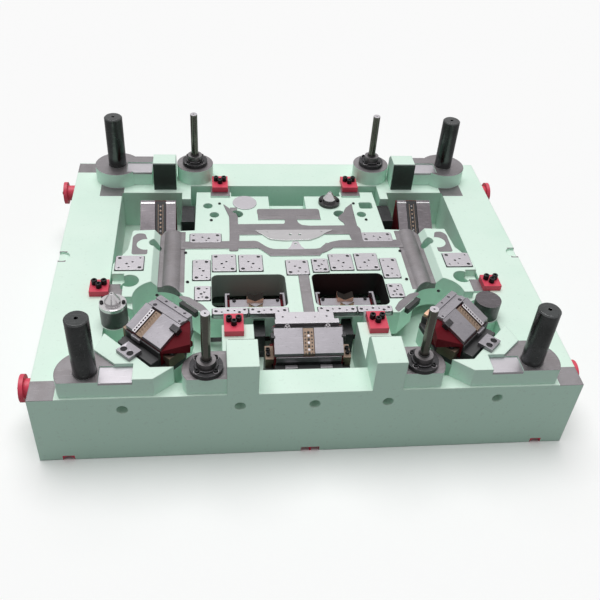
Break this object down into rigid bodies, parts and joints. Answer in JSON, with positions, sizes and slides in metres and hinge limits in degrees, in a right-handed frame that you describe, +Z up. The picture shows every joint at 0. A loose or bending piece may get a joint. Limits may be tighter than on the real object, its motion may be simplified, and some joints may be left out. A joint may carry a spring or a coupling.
{
  "type": "line stamping die",
  "caption": "Lower half of a cast automotive line die with guide posts, gas springs, a sprung pad, sliding cams and cam drivers.",
  "frame": {"origin": "centre of the shoe's underside", "axes": "+X along the shoe's long side, +Y towards the rear, +Z up"},
  "size_m": [2.346, 1.73, 0.719],
  "materials": {
    "cast_paint": "mint green paint over cast iron, machined bands left bare",
    "ground_steel": "ground, lightly oiled",
    "dark_steel": "blackened",
    "hardened_steel": "hardened and ground, oiled",
    "screw_steel": "black oxide",
    "bronze": "machined, with graphite plugs",
    "red_paint": "bright red paint",
    "dark_red_paint": "dark red paint"
  },
  "bodies": {
    "lower_die": {"boss_rest_plates": "ground_steel", "cam_gib_screws": "screw_steel", "cam_gibs": "bronze", "cam_keeper_blocks": "ground_steel", "cam_keeper_screws": "screw_steel", "cam_return_rods": "hardened_steel", "die_shoe": "cast_paint", "front_cam_base": "dark_steel", "guide_posts": "hardened_steel", "heel_wear_plates": "dark_steel", "inner_driver_brackets": "ground_steel", "inner_driver_left": "dark_red_paint", "inner_driver_plates": "ground_steel", "inner_driver_right": "dark_red_paint", "inner_driver_vees": "bronze", "keeper_screws": "screw_steel", "left_cam_base": "dark_steel", "lifting_trunnions": "dark_red_paint", "locating_cone": "ground_steel", "pad_guide_blocks": "ground_steel", "pad_keepers": "red_paint", "pad_spring_cylinders": "dark_steel", "pedestals": "dark_steel", "rear_driver_keepers": "dark_steel", "rear_driver_left": "dark_red_paint", "rear_driver_plates": "ground_steel", "rear_driver_right": "dark_red_paint", "rear_driver_strips": "hardened_steel", "right_cam_base": "dark_steel", "shoe_underside": "cast_paint", "spring_cylinders": "dark_steel", "spring_flange_screws": "screw_steel", "spring_flanges": "dark_steel"},
    "front_cam_slider": {"front_cam_flange_steel": "ground_steel", "front_cam_guide_strip": "bronze", "front_cam_return_cylinder": "hardened_steel", "front_cam_slide": "dark_red_paint", "front_cam_wear_plates": "ground_steel"},
    "left_cam_slider": {"left_cam_flange_steel": "ground_steel", "left_cam_guide_strip": "bronze", "left_cam_return_cylinder": "hardened_steel", "left_cam_slide": "dark_red_paint", "left_cam_wear_plates": "ground_steel"},
    "moving_pad": {"pad": "cast_paint", "pad_flange_bar": "ground_steel", "pad_front_strips": "ground_steel", "pad_insert_plates": "ground_steel", "pad_pilot_cone": "ground_steel", "pad_spring_rods": "hardened_steel"},
    "right_cam_slider": {"right_cam_flange_steel": "ground_steel", "right_cam_guide_strip": "bronze", "right_cam_return_cylinder": "hardened_steel", "right_cam_slide": "dark_red_paint", "right_cam_wear_plates": "ground_steel"},
    "front_left_gas_rod": {"spring_rod_front_left": "ground_steel"},
    "front_right_gas_rod": {"spring_rod_front_right": "ground_steel"},
    "rear_left_gas_rod": {"spring_rod_rear_left": "ground_steel"},
    "rear_right_gas_rod": {"spring_rod_rear_right": "ground_steel"}
  },
  "joints": [
    {"name": "pad_lift", "type": "slide", "parent": "lower_die", "child": "moving_pad", "axis": [0, 0, 1], "range_m": [-0.04, 0], "stiffness_N_per_m": 600000, "springref_m": 0.06},
    {"name": "front_cam_slide", "type": "slide", "parent": "lower_die", "child": "front_cam_slider", "axis": [0, 1, 0], "range_m": [0, 0.035], "stiffness_N_per_m": 4000, "springref_m": -0.02},
    {"name": "left_cam_slide", "type": "slide", "parent": "lower_die", "child": "left_cam_slider", "axis": [0.7071, 0.7071, 0], "range_m": [0, 0.035], "stiffness_N_per_m": 4000, "springref_m": -0.02},
    {"name": "right_cam_slide", "type": "slide", "parent": "lower_die", "child": "right_cam_slider", "axis": [-0.7071, 0.7071, 0], "range_m": [0, 0.035], "stiffness_N_per_m": 4000, "springref_m": -0.02},
    {"name": "front_left_rod_travel", "type": "slide", "parent": "lower_die", "child": "front_left_gas_rod", "axis": [0, 0, 1], "range_m": [-0.2, 0], "stiffness_N_per_m": 1000, "springref_m": 0.3},
    {"name": "front_right_rod_travel", "type": "slide", "parent": "lower_die", "child": "front_right_gas_rod", "axis": [0, 0, 1], "range_m": [-0.2, 0], "stiffness_N_per_m": 1000, "springref_m": 0.3},
    {"name": "rear_left_rod_travel", "type": "slide", "parent": "lower_die", "child": "rear_left_gas_rod", "axis": [0, 0, 1], "range_m": [-0.2, 0], "stiffness_N_per_m": 1000, "springref_m": 0.3},
    {"name": "rear_right_rod_travel", "type": "slide", "parent": "lower_die", "child": "rear_right_gas_rod", "axis": [0, 0, 1], "range_m": [-0.2, 0], "stiffness_N_per_m": 1000, "springref_m": 0.3}
  ]
}
